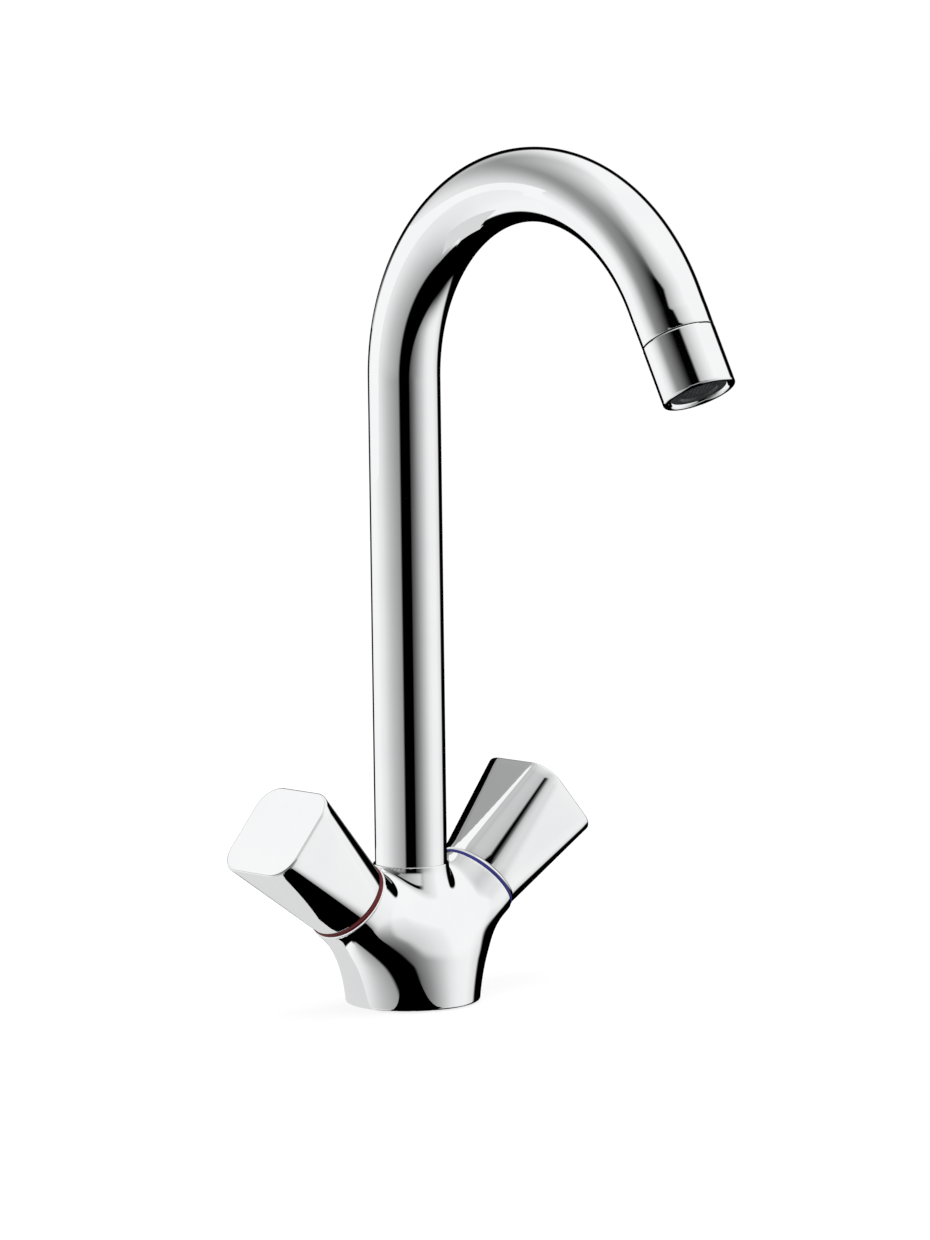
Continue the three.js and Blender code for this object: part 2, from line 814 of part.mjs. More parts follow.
function spindle() {
  const seal = grooveFor(stemBore, spindleSealSection);
  const sealMiddle = chamberEnd + spindleSealDistance;
  const clipFloor = stemRadius - clipGrooveDepth;
  const shaft = turned([
    [0, spindleHeadStart],
    [discDiameter / 2, spindleHeadStart],
    [discDiameter / 2, spindleHeadStart + spindleHeadHeight],
    [stemRadius, spindleHeadStart + spindleHeadHeight],
    [stemRadius, sealMiddle - seal.half],
    [seal.floor, sealMiddle - seal.half],
    [seal.floor, sealMiddle + seal.half],
    [stemRadius, sealMiddle + seal.half],
    [stemRadius, clipStart - gap],
    [clipFloor, clipStart - gap],
    [clipFloor, splineStart],
    [0, splineStart],
  ]);
  const overlap = gap / 2;
  const spline = extruded(splineShape(0), splineStart - overlap, splineEnd);
  const key = new THREE.BoxGeometry(driveKeyLength, driveKeyWidth, driveKeyHeight + gap);
  key.translate(0, 0, spindleHeadStart - driveKeyHeight / 2);
  const screwHole = cylinder(
    screwDiameter / 2 + gap,
    splineEnd + insertFloor + gap - screwLength - 2 * gap,
    splineEnd + past,
    16,
  );
  const notches = [0, Math.PI].map((turn) => {
    const headEnd = spindleHeadStart + spindleHeadHeight;
    const notch = cylinder(headNotchDiameter / 2, spindleHeadStart - past, headEnd + past, 12);
    return solid(notch.translate(0, headNotchOffset, 0).rotateZ(turn));
  });
  return notches.reduce(
    (made, notch) => made.subtract(notch),
    solid(shaft).add(solid(spline)).add(solid(key)).subtract(solid(screwHole)),
  );
}

// ---------- Handle ----------

// The shell runs from a circle at the ring to a rounded square at its outer face.
function handleShell() {
  const root = handleRootDiameter / 2;
  const skirt = root - handleSkirtWall;
  const skirtEnd = flangeEnd + 2 * gap + handleSkirtWall;
  const edgeHalf = handleHalfWidth - handleEdge;
  const edgeCorner = handleCorner - handleEdge;
  const dome = handleEnd - handleDome;
  const soft = handleEdge * (1 - Math.SQRT1_2);
  return squared([
    [0, 0, handleEnd],
    [edgeHalf / 2, edgeCorner / 2, handleEnd - handleDome / 4],
    [edgeHalf, edgeCorner, dome],
    [handleHalfWidth - soft, handleCorner - soft, dome - soft],
    [handleHalfWidth, handleCorner, dome - handleEdge],
    [root, root, handleStart],
    [skirt, skirt, handleStart],
    [skirt, skirt, skirtEnd],
    [socketHalfWidth, socketCorner, skirtEnd],
    [socketHalfWidth, socketCorner, cavityEnd],
    [0, 0, cavityEnd],
  ]);
}

// The plastic insert snaps into the shell and fits over the spindle's splines.
function snapInsert() {
  const half = socketHalfWidth - gap;
  const corner = socketCorner - gap;
  const low = splineStart + gap;
  const high = cavityEnd - gap;
  const block = squared([[0, 0, low], [half, corner, low], [half, corner, high], [0, 0, high]], 24);
  const splineHole = extruded(splineShape(gap), low - past, splineEnd + gap);
  const headRoom = cylinder(
    screwHeadDiameter / 2 + gap,
    splineEnd + gap + insertFloor,
    high + past,
    20,
  );
  const screwHole = cylinder(screwDiameter / 2 + gap, low, high, 16);
  return [splineHole, headRoom, screwHole].reduce(
    (made, cut) => made.subtract(solid(cut)),
    solid(block),
  );
}

function insertScrew() {
  const seat = splineEnd + gap + insertFloor + gap;
  const shank = screwDiameter / 2;
  const top = seat + screwHeadHeight;
  const head = screwHeadDiameter / 2;
  const screw = turned([
    [0, seat - screwLength],
    [shank, seat - screwLength],
    [shank, seat],
    [head, seat],
    [head, top],
    [0, top],
  ], 16);
  const recess = cylinder(screwSocketWidth / 2, top - screwSocketDepth, top + past, 6);
  return solid(screw).subtract(solid(recess));
}

// ---------- One valve with its handle ----------

function valve(name, side, ringColour) {
  const headworkSeal = grooveFor(headworkBore, headworkSealSection);
  const headworkSealMiddle = neckLength - gap - headworkSeal.half;
  const stemSeal = grooveFor(stemBore, spindleSealSection);
  const clipInner = stemRadius - clipGrooveDepth + gap;
  const sealOuter = discDiameter / 2;
  const sealInner = sealOuter - seatSealWidth;
  const seatSeal = washer(sealInner, sealOuter, sealStart, sealStart + seatSealHeight);
  const glideEnd = glideStart + glideWasherThickness;
  const glideWasher = washer(stemBore, sealOuter, glideStart, glideEnd);
  const indexRing = washer(
    flangeDiameter / 2 + gap,
    indexRingDiameter / 2,
    ringStart,
    ringEnd,
    visibleSides,
  );
  const pieces = [
    piece("headwork_housing", headworkWithWindows(), brass),
    piece(
      "headwork_seal",
      roundSeal(headworkSeal.middle, headworkSealSection, headworkSealMiddle),
      rubber,
    ),
    piece("seat_seal", seatSeal, rubber),
    piece("fixed_disc", ceramicDisc(fixedDiscStart), ceramic),
    piece("moving_disc", movingDisc(), ceramic),
    piece("spindle", spindle(), brass),
    piece(
      "spindle_seal",
      roundSeal(stemSeal.middle, spindleSealSection, chamberEnd + spindleSealDistance),
      rubber,
    ),
    piece("glide_washer", glideWasher, whitePlastic),
    piece("spindle_clip", splitRing(clipInner, clipInner + clipWidth, clipStart, clipEnd), steel),
    piece("index_ring", indexRing, ringColour),
    piece("snap_insert", snapInsert(), whitePlastic),
    piece("insert_screw", insertScrew(), steel),
    piece("handle", handleShell(), chrome),
  ];
  const group = new THREE.Group();
  for (const part of pieces) {
    part.name = `${name}_${part.name}`;
    group.add(part);
  }
  group.rotation.y = side * valveTilt;
  group.position.z = valveOriginHeight;
  return group;
}

// ---------- Faucet ----------

const faucet = new THREE.Group();
faucet.add(piece("body", body(), chrome));
faucet.add(piece("base_seal", baseSeal(), rubber));
faucet.add(spout());
faucet.add(valve("hot", -1, redPlastic));
faucet.add(valve("cold", 1, bluePlastic));

export default faucet;
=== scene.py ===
import json
import math

import bmesh
import bpy
import numpy as np
from mathutils import Matrix, Vector


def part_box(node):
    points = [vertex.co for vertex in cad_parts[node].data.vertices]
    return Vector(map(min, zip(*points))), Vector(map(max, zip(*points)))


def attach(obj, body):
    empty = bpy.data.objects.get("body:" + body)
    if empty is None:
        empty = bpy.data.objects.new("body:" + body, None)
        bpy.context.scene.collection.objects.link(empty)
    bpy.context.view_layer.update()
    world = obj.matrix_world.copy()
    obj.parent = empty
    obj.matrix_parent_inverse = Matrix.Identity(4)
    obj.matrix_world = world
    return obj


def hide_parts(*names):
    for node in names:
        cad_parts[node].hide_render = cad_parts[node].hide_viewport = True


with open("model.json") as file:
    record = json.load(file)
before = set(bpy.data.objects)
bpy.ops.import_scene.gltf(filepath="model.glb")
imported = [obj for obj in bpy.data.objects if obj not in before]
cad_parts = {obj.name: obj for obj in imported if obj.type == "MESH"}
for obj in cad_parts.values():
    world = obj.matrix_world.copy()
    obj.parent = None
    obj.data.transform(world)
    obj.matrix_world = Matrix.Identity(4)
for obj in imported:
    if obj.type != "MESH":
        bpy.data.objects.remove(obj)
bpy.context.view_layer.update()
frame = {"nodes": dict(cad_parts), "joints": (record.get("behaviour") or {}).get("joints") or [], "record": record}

mm = 0.001
joints = {joint["name"]: joint for joint in frame["joints"]}
mounts = {mount["name"]: mount for mount in frame["record"]["mounts"]}

# ---------- Sizes, in metres, beside those that the frame gives ----------

CLEARANCE = 0.3 * mm

TUBE_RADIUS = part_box("spout_tube")[1].x
TUBE_WALL = 1.5 * mm
TUBE_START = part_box("spout_tube")[0].z
ARCH_RADIUS = 71 * mm
ARCH_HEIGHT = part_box("spout_tube")[1].z - ARCH_RADIUS - TUBE_RADIUS
OUTLET_STRAIGHT = 14.2 * mm
TUBE_END_ROUND = 0.3 * mm
TUBE_END_DRAWN = 8 * mm
TUBE_END_TAPER = 0.09 * mm

SEAM = 0.5 * mm
SEAM_SHOWN = 0.22 * mm
SLEEVE_LENGTH = 21.2 * mm
SLEEVE_WALL = 1.1 * mm
SLEEVE_CHAMFER = 0.4 * mm
SLEEVE_SHOULDER_ROUND = 0.15 * mm
SLEEVE_LEDGE_START = 13.2 * mm
SLEEVE_LEDGE_END = 15.2 * mm
RIM_WIDTH = 2.0 * mm
RIM_ROUND = 0.87 * mm
CORE_RADIUS = 10.2 * mm
CORE_BORE = 8.3 * mm
CORE_HEAD_START = 10.7 * mm
CORE_HEAD_END = 12.9 * mm
CORE_LEDGE_BORE = 6.4 * mm
CORE_LEDGE_END = 12.6 * mm
CORE_MOUTH = 7.0 * mm
CORE_MOUTH_START = 17.2 * mm
CORE_RECESS = 1.0 * mm
CORE_LIP = 0.7 * mm
GRID_START = 17.9 * mm
GRID_END = 19.9 * mm
GRID_RIM = 0.9 * mm
GRID_PITCH = 1.75 * mm
GRID_HOLE = 0.62 * mm

BASE_RADIUS = 24.12 * mm
BASE_ROUND = 0.9 * mm
GROOVE_WIDTH = 2.6 * mm
PORT_RADIUS = 5 * mm
STUD_RADIUS = 3.4 * mm
STUD_DEPTH = 14 * mm
STUD_BEHIND = 12 * mm
SHOULDER_HEIGHT = 16.5 * mm
COLLAR_HEIGHT = 50.3 * mm
COLLAR_RADIUS = TUBE_RADIUS + CLEARANCE + 0.4 * mm
COLLAR_ROUND = 0.22 * mm
COUNTERBORE_FLOOR = 47.3 * mm
SOCKET_RADIUS = 10 * mm
SOCKET_FLOOR = 36 * mm
BLEND = 16.5 * mm
CROWN_BLEND = 4 * mm
SADDLE = 10 * mm

NECK_LENGTH = 40.4 * mm
NECK_ROOT_RADIUS = 14 * mm
NECK_END_RADIUS = 16.2 * mm
NECK_ROUND = 0.3 * mm
HEADWORK_BORE = 10.78 * mm
SPIGOT_BORE = 9.2 * mm
SPIGOT_END = 25 * mm
SEAT = 17 * mm

RING_START = NECK_LENGTH + CLEARANCE
RING_END = RING_START + 1.4 * mm
RING_SHOWN = RING_START + 1.05 * mm
RING_OUTER = 15.8 * mm
RING_STEP = 0.9 * mm
RING_INNER = 12.5 * mm
RING_ROUND = 0.15 * mm

HANDLE_START = RING_END + 0.5 * mm
HANDLE_END = HANDLE_START + 43 * mm
HANDLE_ROOT = 15.6 * mm
HANDLE_ROOT_ROUND = 0.3 * mm
HANDLE_HALF = 18.1 * mm
HANDLE_CORNER = 9.15 * mm
HANDLE_EDGE = 0.9 * mm
HANDLE_DOME = 1.1 * mm
SKIRT_WALL = 2.2 * mm
SKIRT_END = 47.5 * mm
CAVITY_END = HANDLE_END - 2.6 * mm
CAVITY_HALF = 11.5 * mm
CAVITY_CORNER = 6 * mm

# ---------- Places: an axis and where it starts ----------


def place_along(origin, axis, across=(0, 0, 1)):
    """The frame whose Z runs along axis from origin, with X as near to across as it gets."""
    z = Vector(axis).normalized()
    y = z.cross(Vector(across)).normalized()
    x = y.cross(z)
    return Matrix.Translation(origin) @ Matrix((x, y, z)).transposed().to_4x4()


VALVES = {
    side: place_along(joints[f"{side}_turn"]["pos_m"], joints[f"{side}_turn"]["axis"], (0, 1, 0))
    for side in ("hot", "cold")
}
OUTLET_AXIS = Vector(mounts["outlet_rim"]["axis"])
RIM_CENTRE = Vector(mounts["outlet_rim"]["pos_m"]) * Vector((0, 1, 1))
SLEEVE_END = SEAM + SLEEVE_LENGTH
OUTLET = place_along(RIM_CENTRE - OUTLET_AXIS * SLEEVE_END, OUTLET_AXIS, (1, 0, 0))
ARCH_ANGLE = math.atan2(-OUTLET_AXIS.y, OUTLET_AXIS.z)

# ---------- Building meshes ----------


def softened(corners, steps=6):
    """The closed outline through corners of (radius, height, rounding), with its arcs."""
    outline = []
    count = len(corners)
    for i, (radius, height, rounding) in enumerate(corners):
        corner = Vector((radius, height))
        if rounding == 0:
            outline.append(corner)
            continue
        before = (Vector(corners[i - 1][:2]) - corner).normalized()
        after = (Vector(corners[(i + 1) % count][:2]) - corner).normalized()
        half = before.angle(after) / 2
        reach = rounding / math.tan(half)
        middle = corner + (before + after).normalized() * rounding / math.sin(half)
        start = corner + before * reach - middle
        turn = start.angle_signed(corner + after * reach - middle)
        outline.append(corner + before * (reach + rounding / 8))
        for step in range(steps + 1):
            outline.append(middle + Matrix.Rotation(-turn * step / steps, 2) @ start)
        outline.append(corner + after * (reach + rounding / 8))
    return outline


def spun(outline, closed=True, steps=128):
    """A mesh from an outline of (radius, height), closed or not, turned round the Z axis."""
    shape = bmesh.new()
    points = [shape.verts.new((radius, 0, height)) for radius, height in outline]
    pairs = list(zip(points, points[1:])) + ([(points[-1], points[0])] if closed else [])
    edges = [shape.edges.new(pair) for pair in pairs]
    bmesh.ops.spin(
        shape,
        geom=points + edges,
        cent=(0, 0, 0),
        axis=(0, 0, 1),
        angle=2 * math.pi,
        steps=steps,
        use_merge=True,
    )
    bmesh.ops.remove_doubles(shape, verts=shape.verts, dist=1e-7)
    return shape


def carried_on(shape, edges, place, stations):
    """Extrudes a border loop through rings of (radius, height) about a place.

    A radius of None keeps each point's own distance, less the third number. Gives the last loop."""
    home = place.inverted()
    start = {}
    for station in stations:
        made = bmesh.ops.extrude_edge_only(shape, edges=edges)["geom"]
        old = {vert for edge in edges for vert in edge.verts}
        edges = [item for item in made if isinstance(item, bmesh.types.BMEdge)]
        edges = [edge for edge in edges if not any(vert in old for vert in edge.verts)]
        for vert in {vert for edge in edges for vert in edge.verts}:
            local = home @ vert.co
            across = Vector((local.x, local.y))
            angle = round(math.atan2(across.y, across.x), 7)
            own = start.setdefault(angle, across.length)
            radius = own - station[2] if station[0] is None else station[0]
            across = across.normalized() * radius
            vert.co = place @ Vector((across.x, across.y, station[1]))
    return edges


def round_over(size, steps=6):
    """Stations that turn a border a quarter round inwards, from size below height 0 up to it."""
    quarter = [math.pi / 2 * (i + 1) / steps for i in range(steps)]
    return [(None, size * (math.sin(a) - 1), size * (1 - math.cos(a))) for a in quarter]


def finished(name, shape, material, body, slot, *nodes, sharp=35):
    """Makes the piece from its bmesh: normals out, soft shading with sharp edges, on its body."""
    bmesh.ops.recalc_face_normals(shape, faces=shape.faces)
    for face in shape.faces:
        face.smooth = True
    for edge in shape.edges:
        if edge.is_manifold and edge.calc_face_angle(0) > math.radians(sharp):
            edge.smooth = False
    mesh = bpy.data.meshes.new(name)
    shape.to_mesh(mesh)
    shape.free()
    mesh.materials.append(material)
    piece = bpy.data.objects.new(name, mesh)
    bpy.context.scene.collection.objects.link(piece)
    piece.visible_glossy = False  # The metal mirrors the studio alone.
    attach(piece, body)
    if nodes:
        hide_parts(*nodes)


# ---------- Camera: the photograph's viewpoint ----------

AIM = Vector((0, 0, 139.29 * mm))
AIM_PIXEL = (407.52, 616.97)
AIM_DEPTH = 2.1815
AZIMUTH, ELEVATION, ROLL = math.radians(-42.25), math.radians(6.85), math.radians(-0.76)
FOCAL_PIXELS = 6079
WIDTH, HEIGHT = 930, 1240


def make_camera():
    back = Vector((
        math.sin(AZIMUTH) * math.cos(ELEVATION),
        -math.cos(AZIMUTH) * math.cos(ELEVATION),
        math.sin(ELEVATION),
    ))
    level = Vector((math.cos(AZIMUTH), math.sin(AZIMUTH), 0))
    upright = back.cross(level)
    right = level * math.cos(ROLL) + upright * math.sin(ROLL)
    up = upright * math.cos(ROLL) - level * math.sin(ROLL)
    aside = -(AIM_PIXEL[0] - WIDTH / 2) * AIM_DEPTH / FOCAL_PIXELS
    above = (AIM_PIXEL[1] - HEIGHT / 2) * AIM_DEPTH / FOCAL_PIXELS
    data = bpy.data.cameras.new("camera")
    data.sensor_width = 36
    data.lens = FOCAL_PIXELS * 36 / HEIGHT
    camera = bpy.data.objects.new("camera", data)
    where = AIM + right * aside + up * above + back * AIM_DEPTH
    turn = Matrix((right, up, back)).transposed().to_4x4()
    camera.matrix_world = Matrix.Translation(where) @ turn
    bpy.context.scene.collection.objects.link(camera)
    bpy.context.scene.camera = camera


make_camera()

# ---------- Node helpers ----------


class Nodes:
    """Short ways to add and join shader nodes in one tree."""

    def __init__(self, tree):
        self.tree = tree
        tree.nodes.clear()

    def add(self, kind, **settings):
        node = self.tree.nodes.new(kind)
        for key, value in settings.items():
            setattr(node, key, value)
        return node

    def join(self, value, socket):
        if isinstance(value, bpy.types.NodeSocket):
            self.tree.links.new(value, socket)
        else:
            socket.default_value = value

    def math(self, operation, *values):
        node = self.add("ShaderNodeMath", operation=operation)
        for value, socket in zip(values, node.inputs):
            self.join(value, socket)
        return node.outputs[0]

    def between(self, value, low, high, to_low=0.0, to_high=1.0, curve="SMOOTHSTEP"):
        node = self.add("ShaderNodeMapRange", interpolation_type=curve)
        for item, socket in zip((value, low, high, to_low, to_high), node.inputs):
            self.join(item, socket)
        return node.outputs[0]

    def ramp(self, value, stops):
        node = self.add("ShaderNodeValToRGB")
        elements = node.color_ramp.elements
        while len(elements) < len(stops):
            elements.new(0.5)
        for element, (position, colour) in zip(elements, stops):
            element.position = position
            element.color = (*colour, 1) if isinstance(colour, tuple) else (colour,) * 3 + (1,)
        self.join(value, node.inputs[0])
        return node.outputs[0]


# ---------- Light: a white surround, with soft panels for the metal to reflect ----------


def studio_direction(azimuth, elevation):
    """A direction in degrees: azimuth is 0 towards the camera and grows to the picture's right."""
    around, up = math.radians(azimuth), math.radians(elevation)
    towards = Vector((math.sin(AZIMUTH), -math.cos(AZIMUTH), 0))
    right = Vector((math.cos(AZIMUTH), math.sin(AZIMUTH), 0))
    level = towards * math.cos(around) + right * math.sin(around)
    return level * math.cos(up) + Vector((0, 0, math.sin(up)))


def make_world():
    """White for the camera, and for shiny surfaces a studio of soft panels and dark gaps."""
    world = bpy.data.worlds.new("studio")
    bpy.context.scene.world = world
    world.use_nodes = True
    n = Nodes(world.node_tree)
    direction = n.add("ShaderNodeTexCoord").outputs["Generated"]
    turned = n.add("ShaderNodeVectorRotate", rotation_type="Z_AXIS")
    n.join(direction, turned.inputs["Vector"])
    n.join(math.pi / 2 - AZIMUTH, turned.inputs["Angle"])
    split = n.add("ShaderNodeSeparateXYZ")
    n.join(turned.outputs[0], split.inputs[0])
    x, y, z = split.outputs
    degree = 180 / math.pi
    azimuth = n.math("MULTIPLY", n.math("ARCTAN2", y, x), degree)
    elevation = n.math("MULTIPLY", n.math("ARCSINE", z), degree)

    # Left panel, below the horizon, brightest far round to the left.
    outer = n.math("MULTIPLY_ADD", elevation, -0.31, -152.6)
    left = n.between(azimuth, n.math("SUBTRACT", outer, 3), n.math("ADD", outer, 3))
    left = n.math("MULTIPLY", left, n.between(azimuth, -13, -20))
    left = n.math("MULTIPLY", left, n.between(elevation, -88, -82))
    fading = n.between(azimuth, -110, -10, curve="LINEAR")
    left = n.math("MULTIPLY", left, n.ramp(fading, [
        (0, 0.96), (0.3, 0.82), (0.6, 0.55), (1, 0.28),
    ]))

    # Right panel, round below and fading downwards.
    across = n.math("ABSOLUTE", n.math("MULTIPLY_ADD", azimuth, 1 / 74, -90 / 74))
    across = n.math("POWER", across, 2)
    down = n.math("POWER", n.math("MULTIPLY", n.math("MINIMUM", elevation, 0), -1 / 55), 2)
    right = n.between(n.math("ADD", across, down), 1.06, 0.93)
    end = n.math("MULTIPLY_ADD", n.math("MAXIMUM", n.math("ADD", elevation, 26), 0), 0.15, 126)
    ended = n.between(azimuth, n.math("ADD", end, 4), n.math("SUBTRACT", end, 4))
    right = n.math("MULTIPLY", right, ended)
    right = n.math("MULTIPLY", right, n.between(down, 1.02, 0.3))
    growing = n.between(azimuth, 15, 125, curve="LINEAR")
    right = n.math("MULTIPLY", right, n.ramp(growing, [
        (0, 0.04), (0.08, 0.13), (0.2, 0.28), (0.34, 0.52),
        (0.5, 0.8), (0.62, 0.9), (0.8, 0.92), (1, 0.75),
    ]))
    low = n.math("ADD", left, right)

    # Ceiling: bright overhead, to the right, far left and behind, and grey up to the front.
    overhead = n.between(elevation, 36, 85, 0, 0.9, "LINEAR")
    lifted = n.math("MAXIMUM", n.math("SUBTRACT", elevation, 30), 0)
    swept = n.math("MULTIPLY_ADD", lifted, 1.2, azimuth)
    side = n.ramp(n.between(swept, -20, 80, curve="LINEAR"), [
        (0, 0), (0.14, 0.18), (0.29, 0.29), (0.44, 0.42),
        (0.59, 0.58), (0.77, 0.77), (0.92, 0.9), (1, 1),
    ])
    side = n.math("MAXIMUM", side, n.between(azimuth, -135, -185))
    aside = n.math("POWER", n.math("ABSOLUTE", n.math("ADD", azimuth, 122)), 2)
    above = n.math("POWER", n.math("ABSOLUTE", n.math("MULTIPLY", elevation, 1.6)), 2)
    glow = n.between(n.math("SQRT", n.math("ADD", aside, above)), 62, 5)
    dim = n.math("SUBTRACT", 1, overhead)
    for share in (side, glow):
        dim = n.math("MULTIPLY", dim, n.math("SUBTRACT", 1, share))
    base = n.between(azimuth, -50, -80, 0.2, 0.3)
    high = n.math("SUBTRACT", 0.96, n.math("MULTIPLY", dim, n.math("SUBTRACT", 0.96, base)))

    # The dark gap above the camera, with a grey window low in it.
    bend = n.math("POWER", n.math("MAXIMUM", azimuth, 0), 2)
    top = n.math("MULTIPLY_ADD", bend, -0.009, 38)
    softness = n.between(azimuth, -15, -40, 1.5, 8.5)
    gap = n.math("MULTIPLY", n.between(azimuth, -62, -23), n.between(azimuth, 42, 24))
    edge = n.between(elevation, n.math("ADD", top, softness), n.math("SUBTRACT", top, softness))
    gap = n.math("MULTIPLY", gap, edge)
    window = n.math("MULTIPLY", n.between(azimuth, -34, -27), n.between(azimuth, 42, 24))
    window = n.math("MULTIPLY", window, n.between(elevation, 1, 4))
    window = n.math("MULTIPLY", window, n.between(elevation, 23, 20))
    dark = n.math("MULTIPLY", gap, n.math("SUBTRACT", 1, window))
    high = n.math("MULTIPLY", high, n.math("SUBTRACT", 1, dark))
    high = n.math("MULTIPLY_ADD", window, 0.14, high)

    # The backdrop's dark surround, and its lit middle.
    beyond = n.math("WRAP", n.math("SUBTRACT", azimuth, 173.5), 180, -180)
    around = n.math("POWER", n.math("ABSOLUTE", n.math("DIVIDE", beyond, 45)), 2)
    over = n.math("POWER", n.math("DIVIDE", n.math("MAXIMUM", elevation, 0), 33), 2)
    ring = n.math("ADD", around, over)
    high = n.math("MULTIPLY", high, n.between(ring, 0.85, 1.15))
    high = n.math("MULTIPLY_ADD", n.between(ring, 0.05, 0.02), 0.5, high)

    rise = n.between(elevation, -9, 8)
    studio = n.math("MULTIPLY", high, rise)
    studio = n.math("ADD", studio, n.math("MULTIPLY", low, n.math("SUBTRACT", 1, rise)))

    rays = n.add("ShaderNodeLightPath")
    shiny = n.math("MAXIMUM", rays.outputs["Is Glossy Ray"], rays.outputs["Is Transmission Ray"])
    soft = n.add("ShaderNodeMix", data_type="FLOAT")
    n.join(shiny, soft.inputs["Factor"])
    n.join(0.85, soft.inputs["A"])
    n.join(studio, soft.inputs["B"])
    seen = n.add("ShaderNodeMix", data_type="FLOAT")
    n.join(rays.outputs["Is Camera Ray"], seen.inputs["Factor"])
    n.join(soft.outputs["Result"], seen.inputs["A"])
    n.join(1.0, seen.inputs["B"])
    light = n.add("ShaderNodeBackground")
    n.join((1, 1, 1, 1), light.inputs["Color"])
    n.join(seen.outputs["Result"], light.inputs["Strength"])
    n.join(light.outputs[0], n.add("ShaderNodeOutputWorld").inputs[0])


def make_lamp():
    """One wide soft lamp overhead, for the shadow and the plain pieces."""
    data = bpy.data.lights.new("overhead", "AREA")
    data.shape = "DISK"
    data.size = 1.4
    data.energy = 9
    lamp = bpy.data.objects.new("overhead", data)
    lamp.matrix_world = Matrix.Translation((-0.3, -0.4, 1.6)) @ Matrix.Rotation(-0.2, 4, "X")
    lamp.visible_glossy = False
    bpy.context.scene.collection.objects.link(lamp)


def make_card(name, place, half_width, half_height, strength):
    """A flat card that only shiny surfaces see."""
    shape = bmesh.new()
    bmesh.ops.create_grid(shape, x_segments=1, y_segments=1, size=1)
    bmesh.ops.scale(shape, vec=(half_width, half_height, 1), verts=shape.verts)
    bmesh.ops.transform(shape, matrix=place, verts=shape.verts)
    mesh = bpy.data.meshes.new(name)
    shape.to_mesh(mesh)
    shape.free()
    look = bpy.data.materials.new(name)
    look.use_nodes = True
    n = Nodes(look.node_tree)
    glow = n.add("ShaderNodeEmission")
    n.join(strength, glow.inputs["Strength"])
    n.join(glow.outputs[0], n.add("ShaderNodeOutputMaterial").inputs[0])
    mesh.materials.append(look)
    card = bpy.data.objects.new(name, mesh)
    for ray in ("camera", "diffuse", "transmission", "volume_scatter", "shadow"):
        setattr(card, f"visible_{ray}", False)
    bpy.context.scene.collection.objects.link(card)


FLAG_BEHIND, FLAG_LEFT, FLAG_HEIGHT = 0.19, 0.0765, 0.13
FLAG_HALF_WIDTH, FLAG_HALF_HEIGHT = 0.11, 0.0665
FACE_CARD_SIDE, FACE_CARD_AWAY, FACE_CARD_HALF = (-122, 42), 0.25, 0.1
# Cards at floor level that only reflections see, standing in for the floor near the body: the grey ones are
# painted floor shade, the black one is a painted contact shadow.
SHADE_CARD_DROP = 0.2 * mm
FLOOR_SHADE_CARDS = [
    # Name, left and right edge, near and far edge, brightness.
    ("floor_shade_left", -0.2, -0.04, -0.1, 0.065, 0.72),
    ("floor_shade_beside", -0.04, -0.012, -0.02, 0.08, 0.72),
    ("floor_shadow_dark", -0.008, 0.013, -0.1, -0.023, 0.0),
]


def make_cards():
    """A dark flag, grey and black cards of painted floor shade near the body (the black one a painted contact
    shadow), and a card for the hot handle's face.
    """
    behind = -studio_direction(0, 0)
    across = studio_direction(90, 0)
    flag = behind * FLAG_BEHIND - across * FLAG_LEFT + Vector((0, 0, FLAG_HEIGHT))
    flag = place_along(flag, -behind, (0, 0, 1))
    make_card("flag", flag, FLAG_HALF_WIDTH, FLAG_HALF_HEIGHT, 0.0)
    face = VALVES["hot"] @ Vector((0, 0, HANDLE_END))
    aside = studio_direction(*FACE_CARD_SIDE)
    card = place_along(face + aside * FACE_CARD_AWAY, -aside)
    make_card("face_card", card, FACE_CARD_HALF, FACE_CARD_HALF, 0.97)
    # The painted floor shade and contact shadow, for the metal to mirror.
    for name, left, right, near, far, strength in FLOOR_SHADE_CARDS:
        middle = across * (left + right) / 2 + behind * (near + far) / 2 - Vector((0, 0, SHADE_CARD_DROP))
        place = place_along(middle, (0, 0, 1), across)
        make_card(name, place, (right - left) / 2, (far - near) / 2, strength)


FLOOR_HALF = 6
FLOOR_DROP = 0.5 * mm
FLOOR_GREY = 0.3
FLOOR_GLOW = 0.76


def make_floor():
    """A pale floor that keeps the shadow, with a glow of its own that the camera alone sees."""
    shape = bmesh.new()
    bmesh.ops.create_grid(shape, x_segments=1, y_segments=1, size=FLOOR_HALF)
    mesh = bpy.data.meshes.new("floor")
    shape.to_mesh(mesh)
    shape.free()
    look = bpy.data.materials.new("pale floor")
    look.use_nodes = True
    n = Nodes(look.node_tree)
    diffuse = n.add("ShaderNodeBsdfDiffuse")
    n.join((FLOOR_GREY,) * 3 + (1,), diffuse.inputs["Color"])
    glow = n.add("ShaderNodeEmission")
    rays = n.add("ShaderNodeLightPath")
    shown = n.math("MULTIPLY", rays.outputs["Is Camera Ray"], FLOOR_GLOW)
    n.join(shown, glow.inputs["Strength"])
    both = n.add("ShaderNodeAddShader")
    n.join(diffuse.outputs[0], both.inputs[0])
    n.join(glow.outputs[0], both.inputs[1])
    n.join(both.outputs[0], n.add("ShaderNodeOutputMaterial").inputs[0])
    mesh.materials.append(look)
    floor = bpy.data.objects.new("floor", mesh)
    floor.location.z = -FLOOR_DROP
    floor.visible_glossy = False
    bpy.context.scene.collection.objects.link(floor)


make_world()
make_lamp()
make_cards()
make_floor()

# ---------- Materials ----------


